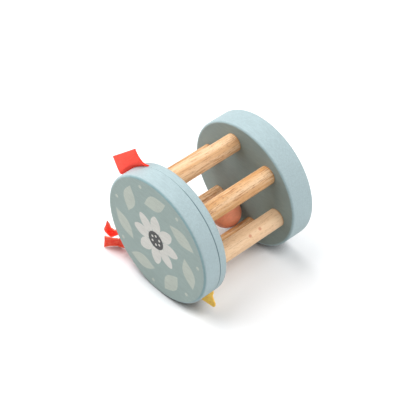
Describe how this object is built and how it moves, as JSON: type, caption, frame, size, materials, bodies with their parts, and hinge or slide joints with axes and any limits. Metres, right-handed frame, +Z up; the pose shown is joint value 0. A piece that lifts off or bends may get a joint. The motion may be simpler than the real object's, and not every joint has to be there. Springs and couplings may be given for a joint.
{
  "type": "wooden baby rattle",
  "caption": "Roller rattle for a baby: painted wooden wheels joined by a cage of beech dowels with a loose ball inside, and ribbon tags in the seam of one wheel.",
  "frame": {"origin": "centre of the rear wheel's outer flat face, on the axle line of both wheels", "axes": "+Y along the axle line out of the rear wheel, so the printed front wheel faces -Y; +Z up with the rattle lying on its rims; +X completes the frame"},
  "size_m": [0.0817, 0.0774, 0.0789],
  "materials": {
    "front_wheel_paint": "matt water-based paint over fine wood grain",
    "rear_wheel_paint": "matt water-based paint over fine wood grain",
    "beech": "bare sanded beech with fine flecks",
    "ball_paint": "satin terracotta paint",
    "coral_ribbon": "woven grosgrain ribbon",
    "mustard_ribbon": "stiff woven ribbon"
  },
  "bodies": {
    "cage": {"front_disc": "front_wheel_paint", "front_inner_disc": "front_wheel_paint", "rear_disc": "rear_wheel_paint", "dowel_1": "beech", "dowel_2": "beech", "dowel_3": "beech", "dowel_4": "beech", "dowel_5": "beech", "dowel_6": "beech", "ribbon_tag": "coral_ribbon", "ribbon_tail_upper": "coral_ribbon", "ribbon_tail_lower": "coral_ribbon", "ribbon_tab": "mustard_ribbon"},
    "ball": {"rattle_ball": "ball_paint"}
  },
  "joints": [
    {"name": "ball_slide", "type": "slide", "parent": "cage", "child": "ball", "axis": [0, -1, 0], "range_m": [0, 0.029]}
  ]
}
